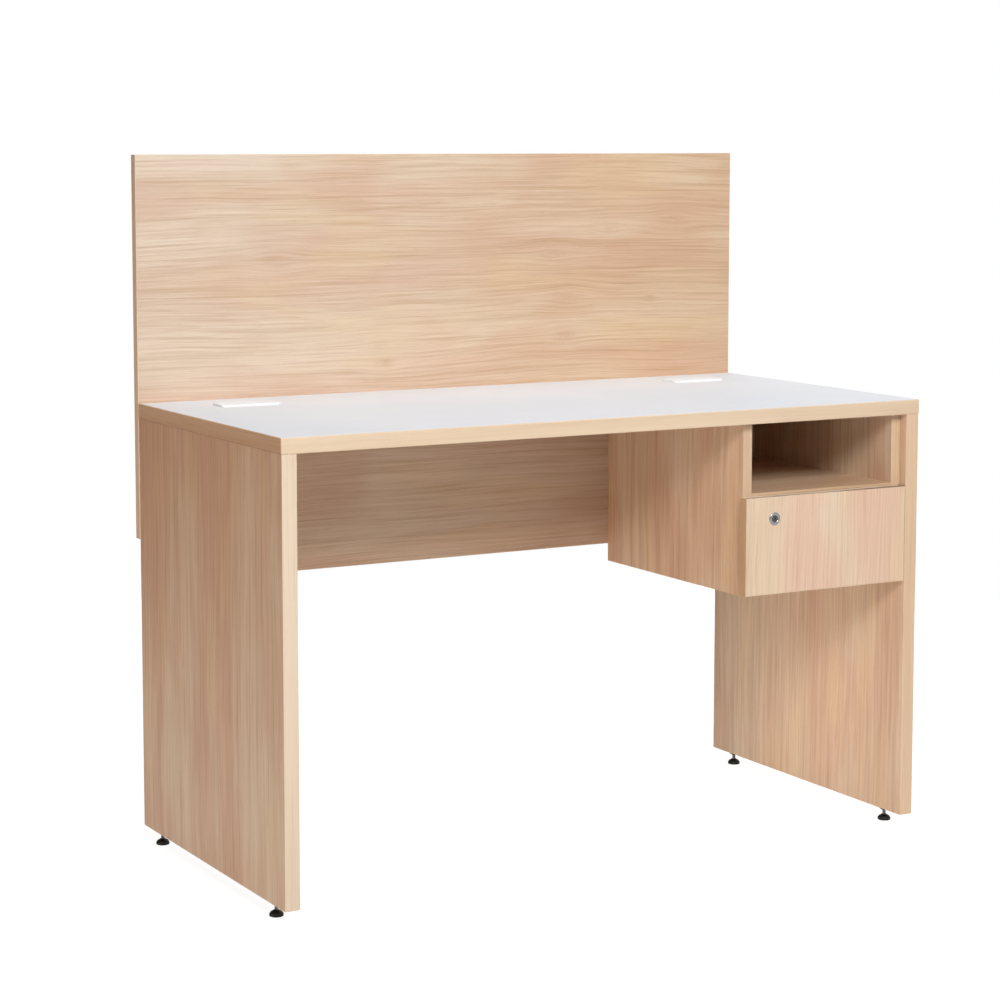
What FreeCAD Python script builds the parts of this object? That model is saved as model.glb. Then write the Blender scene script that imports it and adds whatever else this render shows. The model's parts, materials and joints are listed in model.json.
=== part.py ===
import FreeCAD, Part
import os

# Study carrel: a laminate desk on two slab legs, with a tall screen panel
# behind it, a modesty panel, and a hanging pedestal with an open shelf and a
# lockable drawer.  Millimetres.  +X is the sitter's right, +Y points to the
# back, +Z is up.  The origin is on the floor, at the centre of the footprint.

V = FreeCAD.Vector

# ---------------------------------------------------------------- sizes
WIDTH = 1200.0            # over the two slab legs
DEPTH = 600.0             # front of the desktop to the back of the screen
DESK_H = 750.0            # floor to the worktop
SCREEN_ABOVE = 418.0      # screen standing above the worktop
SCREEN_BELOW = 232.0      # screen hanging below the worktop surface
BOARD = 25.0              # desktop and legs
PANEL = 18.0              # screen, modesty panel, pedestal, drawer front
FOOT_H = 23.0             # floor to the bottom edge of a leg
INSET = 1.0               # legs standing back from the desktop's edges
LIP = 2.0                 # thick edge band of the desktop
BAND = 1.0                # edge band of the other panels

FRONT = -DEPTH / 2.0                     # front of desktop and legs
REAR = DEPTH / 2.0                       # back of the screen
TOP_REAR = REAR - PANEL                  # back of desktop and legs
X0, X1 = -WIDTH / 2.0, WIDTH / 2.0
TOP_Z = DESK_H
UNDER = DESK_H - BOARD                   # underside of the desktop
LEG_OUT = X1 - INSET                     # outer face of the right leg
LEG_IN = LEG_OUT - BOARD                 # inner face of the right leg
LEG_Y0 = FRONT + INSET                   # front edge of the legs

SCREEN_Z0 = DESK_H - SCREEN_BELOW
SCREEN_Z1 = DESK_H + SCREEN_ABOVE

MOD_Y0 = 146.0                           # front face of the modesty panel
MOD_Y1 = MOD_Y0 + PANEL
MOD_Z0 = 465.5

PED_X0 = 248.0                           # outer face of the pedestal's left side
PED_IN0 = PED_X0 + PANEL
PED_IN1 = LEG_IN - PANEL
PED_Y0 = FRONT + PANEL + 1.0             # front edge of the carcass
PED_Z0 = 434.0
PED_BTM = 12.0                           # thinner board under the drawer
SHELF_Z1 = 606.5
SHELF_Z0 = SHELF_Z1 - PANEL
BACK_Y0 = MOD_Y0 - PANEL

FRT_X0, FRT_X1 = 242.0, 572.0            # drawer front
FRT_Z0, FRT_Z1 = 437.0, 602.0
FRT_Y0, FRT_Y1 = FRONT, FRONT + PANEL

SLIDE_T = 13.0                           # space taken by each telescopic slide
SLIDE_L = 350.0
SLIDE_Y0 = -279.0
SLIDE_ZC = 497.5
TRAVEL = 350.0

BOX_T = 12.0                             # drawer box board
BOX_Z0, BOX_Z1 = 449.0, 549.0
BOX_Y1 = 78.0
BOX_X0 = PED_IN0 + SLIDE_T
BOX_X1 = PED_IN1 - SLIDE_T

LOCK_X, LOCK_Z = 299.5, 564.3
LOCK_PROUD = 1.8
BEZEL_R = 11.0

PORT_X, PORT_Y = 448.0, 176.0            # cable ports near the back corners
PORT_W, PORT_D = 106.0, 46.0             # visible frame
PORT_HOLE_W, PORT_HOLE_D = 94.0, 36.0    # cut-out in the desktop
PORT_H = 3.5                             # frame standing above the worktop

FOOT_X = LEG_OUT - BOARD / 2.0
FOOT_Y = (FRONT + 62.0, TOP_REAR - 52.0)
STUD_R = 3.0                             # M6 stud of a levelling foot

os.makedirs("parts", exist_ok=True)


# ---------------------------------------------------------------- helpers
def box(x0, x1, y0, y1, z0, z1):
    return Part.makeBox(x1 - x0, y1 - y0, z1 - z0, V(x0, y0, z0))


def cyl(r, p, d, h):
    return Part.makeCylinder(r, h, V(*p), V(*d))


def round_box(cx, cy, w, d, z0, z1, r):
    """Upright block with rounded vertical corners."""
    b = box(cx - w / 2, cx + w / 2, cy - d / 2, cy + d / 2, z0, z1)
    return b.makeFillet(r, [e for e in b.Edges if abs(e.tangentAt(e.FirstParameter).z) > 0.99])


def group(shapes):
    return Part.makeCompound(shapes)


def cut(shape, tools):
    out = shape
    for t in tools:
        out = out.cut(t)
    return out


def solid_of(shape):
    s = shape.removeSplitter()
    return s.Solids[0] if len(s.Solids) == 1 else s


def save(name, shape):
    if not shape.isValid():
        print("INVALID", name)
    shape.exportStep("parts/%s.step" % name)
    print("%-26s solids %d  volume %.0f" % (name, len(shape.Solids), shape.Volume))


def revolve(profile, x, y):
    pts = [V(x + r, y, z) for r, z in profile]
    wire = Part.makePolygon(pts + [pts[0]])
    return Part.Face(wire).revolve(V(x, y, 0), V(0, 0, 1), 360)


# ---------------------------------------------------------------- hidden fixings
# wooden dowels, 8 mm, in the joints between boards
dowels = []
for sx in (-1, 1):
    for y in (-220.0, 0.0, 240.0):
        dowels.append(cyl(4, (sx * FOOT_X, y, UNDER - 16), (0, 0, 1), 32))
    for z in (500.0, 680.0):
        dowels.append(cyl(4, (sx * (LEG_IN - 16), MOD_Y0 + 9, z), (sx, 0, 0), 32))
for x in (PED_X0 + 9, PED_IN1 + 9):
    for y in (-200.0, 60.0):
        dowels.append(cyl(4, (x, y, UNDER - 16), (0, 0, 1), 32))
for z, r in ((SHELF_Z0 + 9, 4), (PED_Z0 + PED_BTM / 2, 3)):
    for y in (-220.0, 80.0):
        dowels.append(cyl(r, (PED_IN0 - 12, y, z), (1, 0, 0), 32))
        dowels.append(cyl(r, (PED_IN1 + 12, y, z), (-1, 0, 0), 32))
RAIL_Y0, RAIL_Y1 = 48.0, BACK_Y0
RAIL_Z0 = UNDER - PANEL
for x, d in ((PED_IN0 - 12, 1), (PED_IN1 + 12, -1)):
    dowels.append(cyl(4, (x, 100.0, RAIL_Z0 + 9), (d, 0, 0), 32))
    dowels.append(cyl(4, (x, BACK_Y0 + 9, 520.0), (d, 0, 0), 32))

# eccentric cam fittings: a bolt in one board, a cam housing in the other
cam_housings, cam_bolts = [], []


def cam_fitting(face, inward, axis_pt, run, along):
    """face: centre of the housing on the board's face; inward: into the board;
    axis_pt: far end of the bolt; run: bolt direction towards the housing."""
    h = cyl(7.5, face, inward, 12.5)
    slot = cyl(3.2, face, inward, 3.0)
    b = cyl(3.0, axis_pt, run, along)
    head = cyl(4.0, tuple(axis_pt[i] + run[i] * (along - 3) for i in range(3)), run, 3)
    bolt = b.fuse(head).removeSplitter()
    cam_housings.append(h.cut(slot).cut(bolt))
    cam_bolts.append(bolt)
    return [h, bolt]


cam_cuts = []
for sx in (-1, 1):
    for y in (-110.0, 110.0):
        cam_cuts += cam_fitting((sx * LEG_IN, y, UNDER - 34), (sx, 0, 0),
                                (sx * (LEG_IN + 9.0), y, UNDER + 11), (0, 0, -1), 45)
    cam_cuts += cam_fitting((sx * (LEG_IN - 34), MOD_Y1, 590.0), (0, -1, 0),
                            (sx * (LEG_IN + 11), MOD_Y1 - 9.0, 590.0), (-sx, 0, 0), 45)

# screws that hold the screen: through the screen into desktop and leg edges
screen_screws, screen_caps, screen_cuts = [], [], []
for x, z in [(-500, 737.5), (-170, 737.5), (170, 737.5), (500, 737.5),
             (-FOOT_X, 560.0), (-FOOT_X, 680.0), (FOOT_X, 560.0), (FOOT_X, 680.0)]:
    shank = cyl(3.5, (x, REAR - 1.5, z), (0, -1, 0), 47)
    head = Part.makeCone(5.0, 3.5, 3.5, V(x, REAR - 1.5, z), V(0, -1, 0))
    scr = shank.fuse(head).removeSplitter()
    scr = scr.cut(cyl(2.1, (x, REAR - 1.5, z), (0, -1, 0), 2.5))
    screen_screws.append(scr)
    stem = cyl(2.0, (x, REAR, z), (0, -1, 0), 3.5)
    disc = Part.makeCone(6.0, 5.2, LOCK_PROUD, V(x, REAR, z), V(0, 1, 0))
    screen_caps.append(disc.fuse(stem).removeSplitter())
    screen_cuts.append(shank.fuse(head).fuse(cyl(5.0, (x, REAR - 1.5, z), (0, 1, 0), 2)))

# steel angle brackets between modesty panel and desktop
brackets, screws = [], []


def pan_screw(p, d, length, r=1.75, head_r=3.5, head_t=2.0):
    """p: where the head's underside sits; d: driving direction."""
    back = tuple(-c for c in d)
    s = cyl(r, p, d, length).fuse(cyl(head_r, p, back, head_t)).removeSplitter()
    tip = tuple(p[i] + back[i] * head_t for i in range(3))
    return s.cut(cyl(1.2, tip, d, 1.2))


def shank_hole(p, d, length, r=1.75):
    return cyl(r, p, d, length)


screw_cuts = []
for x in (-300.0, -60.0, 180.0):
    b = box(x - 15, x + 15, MOD_Y1, MOD_Y1 + 2, UNDER - 30, UNDER).fuse(
        box(x - 15, x + 15, MOD_Y1, MOD_Y1 + 30, UNDER - 2, UNDER)).removeSplitter()
    for dx in (-7, 7):
        for p, d in (((x + dx, MOD_Y1 + 2, UNDER - 18), (0, -1, 0)),
                     ((x + dx, MOD_Y1 + 18, UNDER - 2), (0, 0, 1))):
            screws.append(pan_screw(p, d, 14))
            screw_cuts.append(shank_hole(p, d, 14))
    brackets.append(b)
for x in (300.0, 411.5, 523.0):            # rail of the pedestal, screwed up
    p, d = (x, 80.0, RAIL_Z0), (0, 0, 1)
    screws.append(pan_screw(p, d, 32))
    screw_cuts.append(shank_hole(p, d, 32))

# ---------------------------------------------------------------- desktop
desktop = box(X0 + LIP, X1 - LIP, FRONT + LIP, TOP_REAR - LIP, UNDER, TOP_Z)
desk_holes = [round_box(sx * PORT_X, PORT_Y, PORT_HOLE_W, PORT_HOLE_D, UNDER - 1, TOP_Z + 1, 4.0)
              for sx in (-1, 1)]
desktop = cut(desktop, desk_holes + dowels + cam_bolts + screen_cuts + screw_cuts)
band_front = box(X0, X1, FRONT, FRONT + LIP, UNDER, TOP_Z)
band_rear = cut(box(X0, X1, TOP_REAR - LIP, TOP_REAR, UNDER, TOP_Z), screen_cuts)
band_sides = [box(X0, X0 + LIP, FRONT + LIP, TOP_REAR - LIP, UNDER, TOP_Z),
              box(X1 - LIP, X1, FRONT + LIP, TOP_REAR - LIP, UNDER, TOP_Z)]
save("desktop", solid_of(desktop))
save("desktop_band_front", band_front)
save("desktop_band_rear", solid_of(band_rear))
save("desktop_side_bands", group(band_sides))

# ---------------------------------------------------------------- legs
stud_holes = [cyl(5.2, (sx * FOOT_X, y, FOOT_H - 1), (0, 0, 1), 36)
              for sx in (-1, 1) for y in FOOT_Y]
for name, sx in (("left", -1), ("right", 1)):
    a, b = sorted((sx * LEG_IN, sx * LEG_OUT))
    leg = box(a, b, LEG_Y0 + BAND, TOP_REAR, FOOT_H, UNDER)
    leg = cut(leg, dowels + cam_cuts + screen_cuts + stud_holes)
    save("leg_panel_" + name, solid_of(leg))
    save("leg_band_" + name, box(a, b, LEG_Y0, LEG_Y0 + BAND, FOOT_H, UNDER))

# ---------------------------------------------------------------- screen
scr = box(X0 + BAND, X1 - BAND, TOP_REAR, REAR, SCREEN_Z0 + BAND, SCREEN_Z1 - BAND)
save("screen_panel", solid_of(cut(scr, screen_cuts)))
save("screen_band_top", box(X0, X1, TOP_REAR, REAR, SCREEN_Z1 - BAND, SCREEN_Z1))
save("screen_band_bottom", box(X0, X1, TOP_REAR, REAR, SCREEN_Z0, SCREEN_Z0 + BAND))
save("screen_side_bands", group([
    box(X0, X0 + BAND, TOP_REAR, REAR, SCREEN_Z0 + BAND, SCREEN_Z1 - BAND),
    box(X1 - BAND, X1, TOP_REAR, REAR, SCREEN_Z0 + BAND, SCREEN_Z1 - BAND)]))
save("screen_screws", group(screen_screws))
save("screen_screw_caps", group(screen_caps))

# ---------------------------------------------------------------- modesty panel
mod = box(-LEG_IN, LEG_IN, MOD_Y0, MOD_Y1, MOD_Z0 + BAND, UNDER)
mod = cut(mod, dowels + cam_cuts + screw_cuts)
save("modesty_panel", solid_of(mod))
save("modesty_band", box(-LEG_IN, LEG_IN, MOD_Y0, MOD_Y1, MOD_Z0, MOD_Z0 + BAND))
save("angle_brackets", group([solid_of(cut(b, screw_cuts)) for b in brackets]))

# ---------------------------------------------------------------- pedestal
# telescopic slides: distances u run from the carcass wall to the drawer side
slide_sets = {}
slide_screw_cuts, drawer_screw_cuts, drawer_screws = [], [], []
for name, wall, s in (("left", PED_IN0, 1), ("right", PED_IN1, -1)):
    def ubox(u0, u1, z0, z1, y0=SLIDE_Y0, y1=SLIDE_Y0 + SLIDE_L, wall=wall, s=s):
        a, b = sorted((wall + s * u0, wall + s * u1))
        return box(a, b, y0, y1, SLIDE_ZC + z0, SLIDE_ZC + z1)
    outer = ubox(0, 1.2, -22.5, 22.5)
    outer = outer.fuse([ubox(0, 9.5, 21.3, 22.5), ubox(0, 9.5, -22.5, -21.3)]).removeSplitter()
    mid = ubox(4.0, 5.2, -18.0, 18.0)
    mid = mid.fuse([ubox(4.0, 10.5, 16.8, 18.0), ubox(4.0, 10.5, -18.0, -16.8)]).removeSplitter()
    inner = ubox(11.8, 13.0, -13.5, 13.5)
    inner = inner.fuse([ubox(6.5, 13.0, 12.3, 13.5), ubox(6.5, 13.0, -13.5, -12.3)]).removeSplitter()
    for y in (SLIDE_Y0 + 35, SLIDE_Y0 + 160, SLIDE_Y0 + 315):
        p, d = (wall + s * 1.2, y, SLIDE_ZC), (-s, 0, 0)
        screws.append(pan_screw(p, d, 14))
        slide_screw_cuts.append(shank_hole(p, d, 14))
        p, d = (wall + s * 11.8, y, SLIDE_ZC), (s, 0, 0)
        drawer_screws.append(pan_screw(p, d, 12))
        drawer_screw_cuts.append(shank_hole(p, d, 12))
    slide_sets[name] = (solid_of(cut(outer, slide_screw_cuts)), mid,
                        solid_of(cut(inner, drawer_screw_cuts)))

for name, a, b in (("left", PED_X0, PED_IN0), ("right", PED_IN1, LEG_IN)):
    side = box(a, b, PED_Y0 + BAND, MOD_Y0, PED_Z0, UNDER)
    side = cut(side, dowels + slide_screw_cuts)
    save("pedestal_side_" + name, solid_of(side))
    save("pedestal_band_" + name, box(a, b, PED_Y0, PED_Y0 + BAND, PED_Z0, UNDER))
    save("slide_outer_" + name, slide_sets[name][0])
    save("slide_middle_" + name, slide_sets[name][1])
    save("slide_inner_" + name, slide_sets[name][2])

# shelf, with the slot that takes the lock's cam, and the strike plate under it
CAM_Y0, CAM_T, CAM_L, CAM_HW = -270.2, 2.0, 33.0, 7.0
slot = box(LOCK_X - 9.0, LOCK_X + 28.0, CAM_Y0 - 2.3, CAM_Y0 + CAM_T + 2.7,
           SHELF_Z0 - 2.0, SHELF_Z0 + 12.0)
strike = box(LOCK_X - 22.0, LOCK_X + 41.0, -277.0, -260.0, SHELF_Z0 - 1.5, SHELF_Z0).cut(slot)
strike_cuts = []
for x in (LOCK_X - 15.5, LOCK_X + 34.5):
    p, d = (x, -268.5, SHELF_Z0 - 1.5), (0, 0, 1)
    screws.append(pan_screw(p, d, 13))
    strike_cuts.append(shank_hole(p, d, 13))
shelf = box(PED_IN0, PED_IN1, PED_Y0 + BAND, BACK_Y0, SHELF_Z0, SHELF_Z1)
save("pedestal_shelf", solid_of(cut(shelf, dowels + [slot] + strike_cuts)))
save("pedestal_shelf_band", box(PED_IN0, PED_IN1, PED_Y0, PED_Y0 + BAND, SHELF_Z0, SHELF_Z1))
save("strike_plate", solid_of(cut(strike, strike_cuts)))
bottom = box(PED_IN0, PED_IN1, PED_Y0 + BAND, BACK_Y0, PED_Z0, PED_Z0 + PED_BTM)
save("pedestal_bottom", solid_of(cut(bottom, dowels)))
save("pedestal_bottom_band", box(PED_IN0, PED_IN1, PED_Y0, PED_Y0 + BAND, PED_Z0, PED_Z0 + PED_BTM))
save("pedestal_back", solid_of(cut(box(PED_IN0, PED_IN1, BACK_Y0, MOD_Y0, PED_Z0, UNDER), dowels)))
save("pedestal_rail", solid_of(cut(box(PED_IN0, PED_IN1, RAIL_Y0, RAIL_Y1, RAIL_Z0, UNDER),
                                   dowels + screw_cuts)))

# ---------------------------------------------------------------- drawer
lock_hole = cyl(8.1, (LOCK_X, FRT_Y0 - 1, LOCK_Z), (0, 1, 0), PANEL + 2)
drawer_dowels = []
for x in (BOX_X0 + BOX_T / 2, BOX_X1 - BOX_T / 2):
    for z in (BOX_Z0 + 24, BOX_Z1 - 12):
        drawer_dowels.append(cyl(3, (x, FRT_Y1 - 12, z), (0, 1, 0), 30))
        drawer_dowels.append(cyl(3, (x - (1 if x > 400 else -1) * 20, BOX_Y1 - BOX_T / 2, z),
                                 (1 if x > 400 else -1, 0, 0), 24))
front = box(FRT_X0 + BAND, FRT_X1 - BAND, FRT_Y0, FRT_Y1, FRT_Z0 + BAND, FRT_Z1 - BAND)
BTM_Z0, BTM_T = BOX_Z0 + 8.0, 4.0
bottom_sheet = box(BOX_X0 + BOX_T - 5, BOX_X1 - BOX_T + 5, FRT_Y1 - 5, BOX_Y1, BTM_Z0, BTM_Z0 + BTM_T)
front = cut(front, [lock_hole, bottom_sheet] + drawer_dowels)
save("drawer_front", solid_of(front))
save("drawer_front_edging", group([
    box(FRT_X0, FRT_X0 + BAND, FRT_Y0, FRT_Y1, FRT_Z0, FRT_Z1),
    box(FRT_X1 - BAND, FRT_X1, FRT_Y0, FRT_Y1, FRT_Z0, FRT_Z1),
    box(FRT_X0 + BAND, FRT_X1 - BAND, FRT_Y0, FRT_Y1, FRT_Z0, FRT_Z0 + BAND),
    box(FRT_X0 + BAND, FRT_X1 - BAND, FRT_Y0, FRT_Y1, FRT_Z1 - BAND, FRT_Z1)]))
for name, a in (("left", BOX_X0), ("right", BOX_X1 - BOX_T)):
    side = box(a, a + BOX_T, FRT_Y1, BOX_Y1, BOX_Z0, BOX_Z1)
    save("drawer_side_" + name,
         solid_of(cut(side, [bottom_sheet] + drawer_dowels + drawer_screw_cuts)))
save("drawer_back", solid_of(cut(box(BOX_X0 + BOX_T, BOX_X1 - BOX_T, BOX_Y1 - BOX_T, BOX_Y1,
                                     BTM_Z0 + BTM_T, BOX_Z1), drawer_dowels)))
save("drawer_bottom", bottom_sheet)
save("drawer_dowels", group(drawer_dowels))
save("drawer_slide_screws", group(drawer_screws))

# ---------------------------------------------------------------- lock
BARREL_R, PLUG_R = 8.0, 6.0
BARREL_Y1 = -272.0
housing = cyl(BARREL_R, (LOCK_X, FRT_Y0, LOCK_Z), (0, 1, 0), BARREL_Y1 - FRT_Y0)
bezel = cyl(BEZEL_R, (LOCK_X, FRT_Y0 - LOCK_PROUD, LOCK_Z), (0, 1, 0), LOCK_PROUD)
bezel = bezel.makeFillet(1.4, [e for e in bezel.Edges
                                if abs(e.CenterOfMass.y - (FRT_Y0 - LOCK_PROUD)) < 0.01
                                and hasattr(e.Curve, "Radius")])
housing = housing.fuse(bezel).removeSplitter()
housing = housing.cut(cyl(PLUG_R + 0.08, (LOCK_X, FRT_Y0 - 5, LOCK_Z), (0, 1, 0), 50))
save("lock_housing", solid_of(housing))
hexagon = Part.makePolygon([V(LOCK_X + 11.5 * c, FRT_Y1, LOCK_Z + 11.5 * s) for c, s in
                            ((1, 0), (0.5, 0.8660254), (-0.5, 0.8660254), (-1, 0),
                             (-0.5, -0.8660254), (0.5, -0.8660254), (1, 0))])
nut = Part.Face(hexagon).extrude(V(0, 4, 0)).cut(
    cyl(BARREL_R, (LOCK_X, FRT_Y1 - 1, LOCK_Z), (0, 1, 0), 6))
save("lock_nut", solid_of(nut))
CAM_Y1 = CAM_Y0 + CAM_T
plug = cyl(PLUG_R, (LOCK_X, FRT_Y0 - 1.4, LOCK_Z), (0, 1, 0), CAM_Y0 - (FRT_Y0 - 1.4))
keyway = box(LOCK_X - 0.75, LOCK_X + 0.75, FRT_Y0 - 3, FRT_Y0 + 14, LOCK_Z - 3.6, LOCK_Z + 3.6)
tang = box(LOCK_X - 3.5, LOCK_X + 3.5, CAM_Y0, CAM_Y1, LOCK_Z - 3.5, LOCK_Z + 3.5)
screw_bore = cyl(2.0, (LOCK_X, CAM_Y1 - 12, LOCK_Z), (0, 1, 0), 20)
plug = plug.fuse(tang).removeSplitter().cut(keyway).cut(screw_bore)
save("lock_plug", solid_of(plug))
cam = box(LOCK_X - CAM_HW, LOCK_X + CAM_L, CAM_Y0, CAM_Y1, LOCK_Z - CAM_HW, LOCK_Z + CAM_HW)
cam = cam.makeFillet(4.0, [e for e in cam.Edges
                           if abs(e.tangentAt(e.FirstParameter).y) > 0.99])
cam = cam.cut(box(LOCK_X - 3.5, LOCK_X + 3.5, CAM_Y0 - 1, CAM_Y1 + 1, LOCK_Z - 3.5, LOCK_Z + 3.5))
save("lock_cam", solid_of(cam))
save("lock_cam_screw", solid_of(
    cyl(2.0, (LOCK_X, CAM_Y1 - 12, LOCK_Z), (0, 1, 0), 12).fuse(
        cyl(5.2, (LOCK_X, CAM_Y1, LOCK_Z), (0, 1, 0), 2.4)).removeSplitter().cut(
        cyl(1.3, (LOCK_X, CAM_Y1 + 1.2, LOCK_Z), (0, 1, 0), 2))))

# ---------------------------------------------------------------- cable ports
# a rectangular frame in the cut-out, and a flap hinged along its front edge
# with a cable mouth in its rear edge
FLAP_W, FLAP_D, FLAP_T = 91.4, 33.4, 2.4
FLAP_Z1 = TOP_Z + PORT_H - 0.1
FLAP_Z0 = FLAP_Z1 - FLAP_T
PIVOT_Y = PORT_Y - FLAP_D / 2 + FLAP_T / 2
PIVOT_Z = FLAP_Z0 + FLAP_T / 2
PIN_R = 0.8
for name, sx in (("left", -1), ("right", 1)):
    cx = sx * PORT_X
    rim = round_box(cx, PORT_Y, PORT_W, PORT_D, TOP_Z, TOP_Z + PORT_H, 6.0)
    rim = rim.makeChamfer(0.9, [e for e in rim.Edges if e.CenterOfMass.z > TOP_Z + PORT_H - 0.01])
    frame = rim.fuse(round_box(cx, PORT_Y, PORT_HOLE_W - 0.5, PORT_HOLE_D - 0.5,
                               TOP_Z - 20, TOP_Z + 0.5, 3.8))
    frame = frame.cut(round_box(cx, PORT_Y, FLAP_W + 0.7, FLAP_D + 0.7,
                                FLAP_Z0 - 0.3, TOP_Z + 10, 1.0))
    frame = frame.cut(round_box(cx, PORT_Y, 87.0, 29.0, TOP_Z - 30, TOP_Z + 10, 2.0))
    frame = frame.cut(cyl(PIN_R + 0.06, (cx - FLAP_W / 2 - 2.3, PIVOT_Y, PIVOT_Z), (1, 0, 0),
                          FLAP_W + 4.6))
    save("cable_port_frame_" + name, solid_of(frame))
    flap = box(cx - FLAP_W / 2, cx + FLAP_W / 2, PIVOT_Y, PORT_Y + FLAP_D / 2, FLAP_Z0, FLAP_Z1)
    mouth = box(cx - 12, cx + 12, PORT_Y + FLAP_D / 2 - 9.0, PORT_Y + 40, FLAP_Z0 - 1, FLAP_Z1 + 1)
    mouth = mouth.makeFillet(4.0, [e for e in mouth.Edges
                                   if abs(e.tangentAt(e.FirstParameter).z) > 0.99
                                   and e.CenterOfMass.y < PORT_Y + FLAP_D / 2])
    flap = flap.cut(mouth)
    flap = flap.fuse(cyl(FLAP_T / 2, (cx - FLAP_W / 2, PIVOT_Y, PIVOT_Z), (1, 0, 0), FLAP_W))
    flap = flap.fuse(cyl(PIN_R, (cx - FLAP_W / 2 - 2.0, PIVOT_Y, PIVOT_Z), (1, 0, 0), FLAP_W + 4.0))
    save("cable_port_flap_" + name, solid_of(flap))

# ---------------------------------------------------------------- feet
inserts = []
for fx, sx in (("left", -1), ("right", 1)):
    for fy, y in (("front", FOOT_Y[0]), ("rear", FOOT_Y[1])):
        x = sx * FOOT_X
        ins = cyl(5.2, (x, y, FOOT_H - 2), (0, 0, 1), 18).fuse(
            cyl(9.0, (x, y, FOOT_H - 2), (0, 0, 1), 2)).fuse(
            Part.makeCone(5.4, 9.0, 2.8, V(x, y, FOOT_H - 4.8), V(0, 0, 1))).removeSplitter()
        inserts.append(ins.cut(cyl(STUD_R + 0.08, (x, y, FOOT_H - 6), (0, 0, 1), 28)))
        foot = revolve([(0, 0), (10.5, 0), (11.3, 0.8), (11.3, 2.8), (10.7, 4.8), (9.2, 6.8),
                        (7.0, 8.4), (4.9, 9.3), (4.2, 9.9), (STUD_R, 10.3), (STUD_R, 46.0),
                        (STUD_R - 0.8, 47.0), (0, 47.0)], x, y)
        save("foot_%s_%s" % (fy, fx), solid_of(foot))
save("leveller_inserts", group(inserts))

# ---------------------------------------------------------------- fixings
save("panel_dowels", group(dowels))
save("cam_housings", group([solid_of(h) for h in cam_housings]))
save("cam_bolts", group([solid_of(b) for b in cam_bolts]))
save("fixing_screws", group(screws))
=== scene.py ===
import bpy
import bmesh
import json
import math
from mathutils import Vector, Matrix


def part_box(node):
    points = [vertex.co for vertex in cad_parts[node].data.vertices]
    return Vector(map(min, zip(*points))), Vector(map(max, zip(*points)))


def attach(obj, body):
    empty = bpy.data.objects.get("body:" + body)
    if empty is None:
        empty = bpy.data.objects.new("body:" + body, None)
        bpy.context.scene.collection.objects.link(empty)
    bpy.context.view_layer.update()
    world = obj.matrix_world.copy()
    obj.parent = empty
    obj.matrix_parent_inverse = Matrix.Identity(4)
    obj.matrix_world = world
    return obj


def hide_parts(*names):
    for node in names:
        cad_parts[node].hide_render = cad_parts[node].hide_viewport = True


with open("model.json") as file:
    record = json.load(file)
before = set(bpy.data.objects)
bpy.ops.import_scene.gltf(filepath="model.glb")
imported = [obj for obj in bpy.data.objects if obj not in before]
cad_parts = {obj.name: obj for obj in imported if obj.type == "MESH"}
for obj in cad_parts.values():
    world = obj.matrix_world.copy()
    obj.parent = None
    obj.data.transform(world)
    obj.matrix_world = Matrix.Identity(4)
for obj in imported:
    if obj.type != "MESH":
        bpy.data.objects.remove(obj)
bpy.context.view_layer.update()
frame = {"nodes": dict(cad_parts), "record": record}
NODES = frame["nodes"]
BODY_OF = {}
for body_name, members in frame["record"]["behaviour"]["bodies"].items():
    for member in members:
        BODY_OF[member] = body_name
scene = bpy.context.scene


# =====================================================================
# node helpers
# =====================================================================
class Tree:
    """Small helper that adds shader nodes and links them."""

    def __init__(self, material):
        material.use_nodes = True
        self.t = material.node_tree
        self.t.nodes.clear()
        self.out = self.t.nodes.new("ShaderNodeOutputMaterial")
        self.bsdf = self.t.nodes.new("ShaderNodeBsdfPrincipled")
        self.t.links.new(self.bsdf.outputs[0], self.out.inputs[0])
        self.coord = self.t.nodes.new("ShaderNodeTexCoord")

    def node(self, kind, **props):
        n = self.t.nodes.new(kind)
        for k, v in props.items():
            setattr(n, k, v)
        return n

    def link(self, a, b):
        self.t.links.new(a, b)

    def put(self, socket, value):
        if isinstance(value, bpy.types.NodeSocket):
            self.link(value, socket)
        else:
            socket.default_value = value

    def math(self, op, a, b=0.0, c=None, clamp=False):
        n = self.node("ShaderNodeMath", operation=op, use_clamp=clamp)
        self.put(n.inputs[0], a)
        self.put(n.inputs[1], b)
        if c is not None:
            self.put(n.inputs[2], c)
        return n.outputs[0]

    def combine(self, x, y, z):
        n = self.node("ShaderNodeCombineXYZ")
        for s, v in zip(n.inputs, (x, y, z)):
            self.put(s, v)
        return n.outputs[0]

    def noise(self, vec, scale=1.0, detail=2.0, rough=0.5, dist=0.0):
        n = self.node("ShaderNodeTexNoise")
        self.link(vec, n.inputs["Vector"])
        n.inputs["Scale"].default_value = scale
        n.inputs["Detail"].default_value = detail
        n.inputs["Roughness"].default_value = rough
        n.inputs["Distortion"].default_value = dist
        return n.outputs["Fac"]

    def remap(self, v, a, b, c=0.0, d=1.0, smooth=False):
        n = self.node("ShaderNodeMapRange")
        if smooth:
            n.interpolation_type = "SMOOTHSTEP"
        n.clamp = True
        self.put(n.inputs[0], v)
        for i, x in enumerate((a, b, c, d)):
            n.inputs[1 + i].default_value = x
        return n.outputs[0]

    def mix(self, fac, a, b, mode="MIX"):
        n = self.node("ShaderNodeMix", data_type="RGBA", blend_type=mode)
        n.clamp_factor = True
        self.put(n.inputs[0], fac)
        self.put(n.inputs[6], a)
        self.put(n.inputs[7], b)
        return n.outputs[2]

    def bump(self, height, strength, distance, normal=None):
        n = self.node("ShaderNodeBump")
        n.inputs["Strength"].default_value = strength
        n.inputs["Distance"].default_value = distance
        self.link(height, n.inputs["Height"])
        if normal is not None:
            self.link(normal, n.inputs["Normal"])
        return n.outputs[0]


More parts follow.
